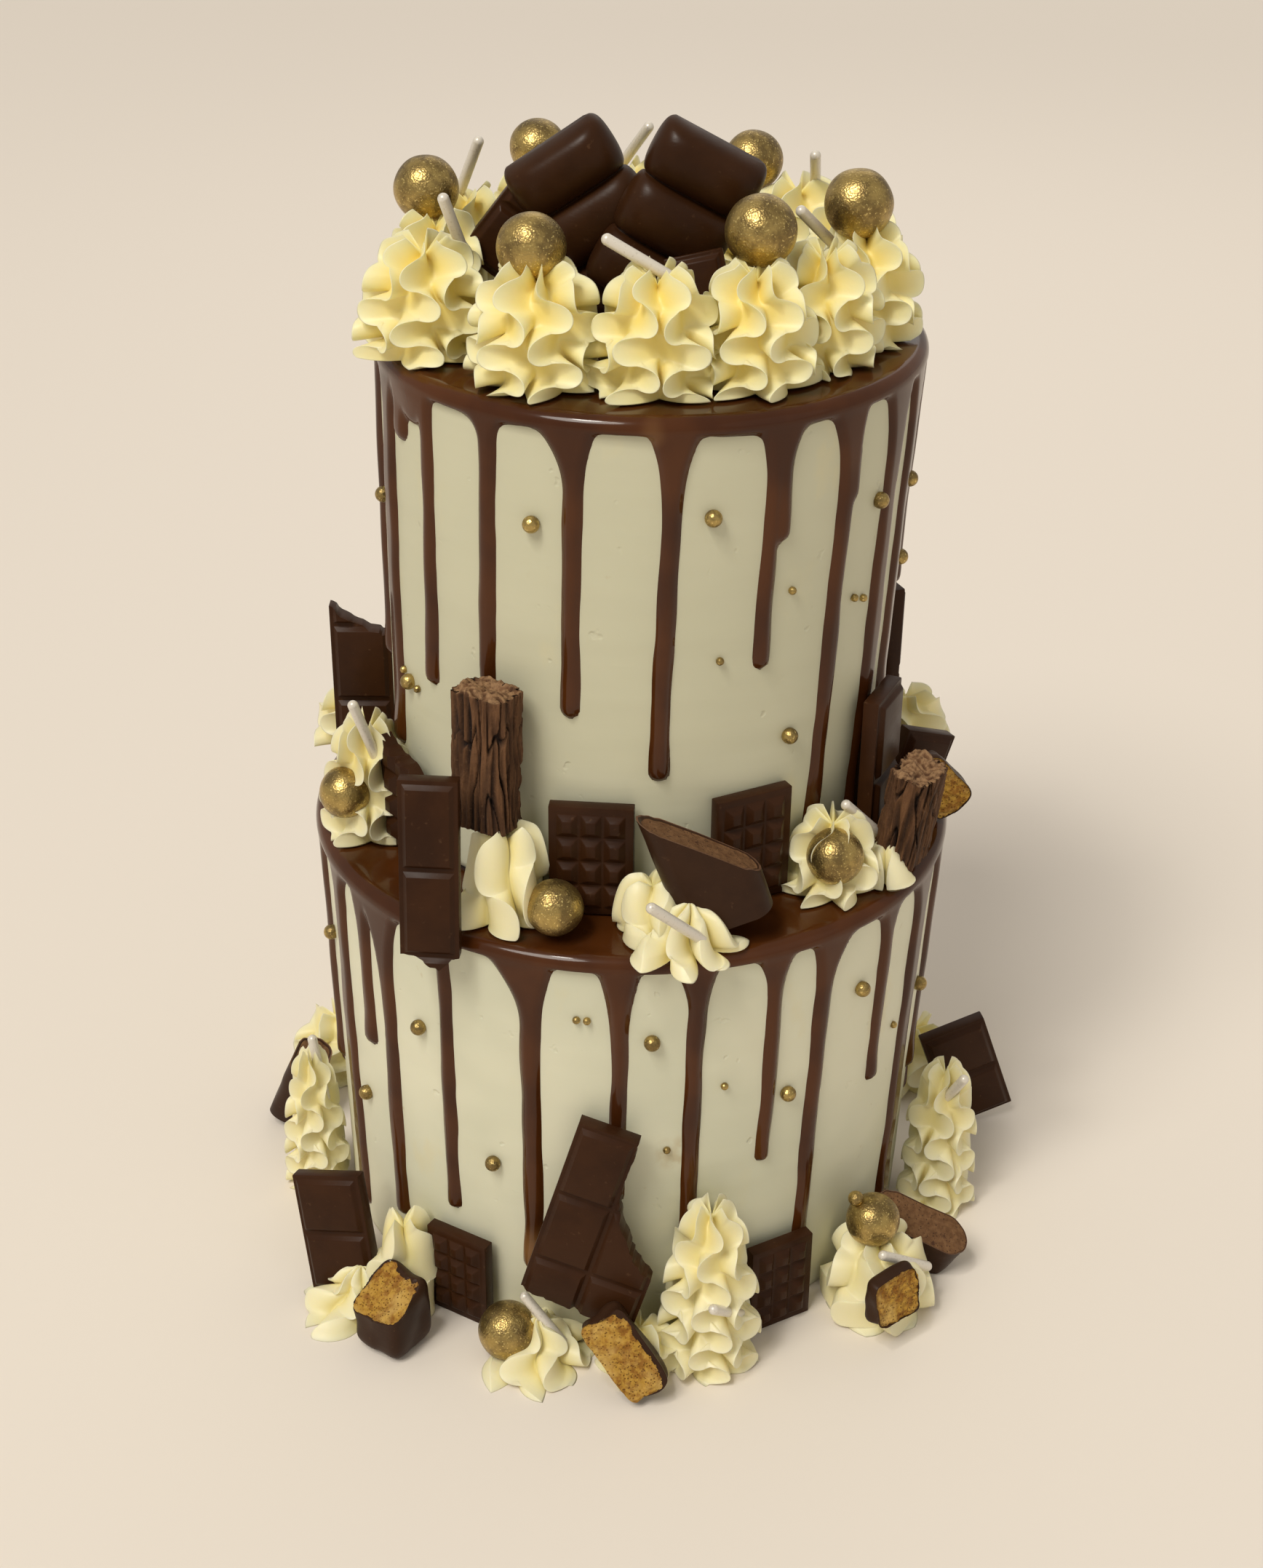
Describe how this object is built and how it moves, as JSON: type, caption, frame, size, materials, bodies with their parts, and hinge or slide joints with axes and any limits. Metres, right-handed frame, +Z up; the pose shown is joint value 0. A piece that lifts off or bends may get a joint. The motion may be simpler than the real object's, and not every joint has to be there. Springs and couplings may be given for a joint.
{
  "type": "two-tier drip cake",
  "caption": "Tall two-tier celebration cake with smooth frosting, a dark glaze that runs down both tiers, piped cream, gold balls and pieces of chocolate and honeycomb",
  "frame": {"origin": "centre of the flat underside of the lower tier", "axes": "+Z up; -Y is the front, the side that the picture shows; +X is the viewer's right"},
  "size_m": [0.2918, 0.2908, 0.3965],
  "materials": {
    "frosting": "smooth buttercream, satin",
    "glaze": "dark milk chocolate glaze, semi-gloss",
    "piped_cream": "piped buttercream, satin",
    "dark_chocolate": "dark chocolate, satin",
    "flaked_chocolate": "rough flaked chocolate, matte",
    "mousse": "light brown mousse in a dark shell, matte",
    "honeycomb": "golden honeycomb toffee half dipped in chocolate, matte",
    "gold_lustre": "mottled gold lustre, satin"
  },
  "bodies": {
    "root": {"base_ball_front": "gold_lustre", "base_ball_rear": "gold_lustre", "base_ball_right": "gold_lustre", "base_cream_back": "piped_cream", "base_cream_behind": "piped_cream", "base_cream_cone": "piped_cream", "base_cream_cone_right": "piped_cream", "base_cream_front": "piped_cream", "base_cream_left": "piped_cream", "base_cream_mound": "piped_cream", "base_cream_right": "piped_cream", "base_honeycomb_cube": "honeycomb", "base_honeycomb_right": "honeycomb", "base_honeycomb_wedge": "honeycomb", "base_mini_bar_left": "dark_chocolate", "base_mini_bar_right": "dark_chocolate", "base_mousse_left": "mousse", "base_mousse_right": "mousse", "base_slab_broken": "dark_chocolate", "base_slab_left": "dark_chocolate", "base_slab_rear": "dark_chocolate", "base_slab_right": "dark_chocolate", "ledge_ball_back": "gold_lustre", "ledge_ball_front": "gold_lustre", "ledge_ball_left": "gold_lustre", "ledge_ball_right": "gold_lustre", "ledge_cream_back": "piped_cream", "ledge_cream_left": "piped_cream", "ledge_cream_loop": "piped_cream", "ledge_cream_right": "piped_cream", "ledge_cream_star": "piped_cream", "ledge_flake_left": "flaked_chocolate", "ledge_flake_right": "flaked_chocolate", "ledge_honeycomb": "honeycomb", "ledge_mini_bar_broken": "dark_chocolate", "ledge_mini_bar_front": "dark_chocolate", "ledge_mini_bar_right": "dark_chocolate", "ledge_mousse_bar": "mousse", "ledge_slab_back": "dark_chocolate", "ledge_slab_front": "dark_chocolate", "ledge_slab_leaning": "dark_chocolate", "ledge_slab_left": "dark_chocolate", "ledge_slab_rear": "dark_chocolate", "ledge_slab_right": "dark_chocolate", "lower_glaze": "glaze", "lower_tier": "frosting", "top_ball_1": "gold_lustre", "top_ball_2": "gold_lustre", "top_ball_3": "gold_lustre", "top_ball_4": "gold_lustre", "top_ball_5": "gold_lustre", "top_ball_6": "gold_lustre", "top_bar_bit_left": "dark_chocolate", "top_bar_bit_right": "dark_chocolate", "top_cream_ring": "piped_cream", "top_lobed_bar_left": "dark_chocolate", "top_lobed_bar_right": "dark_chocolate", "upper_glaze": "glaze", "upper_tier": "frosting"}
  },
  "joints": []
}
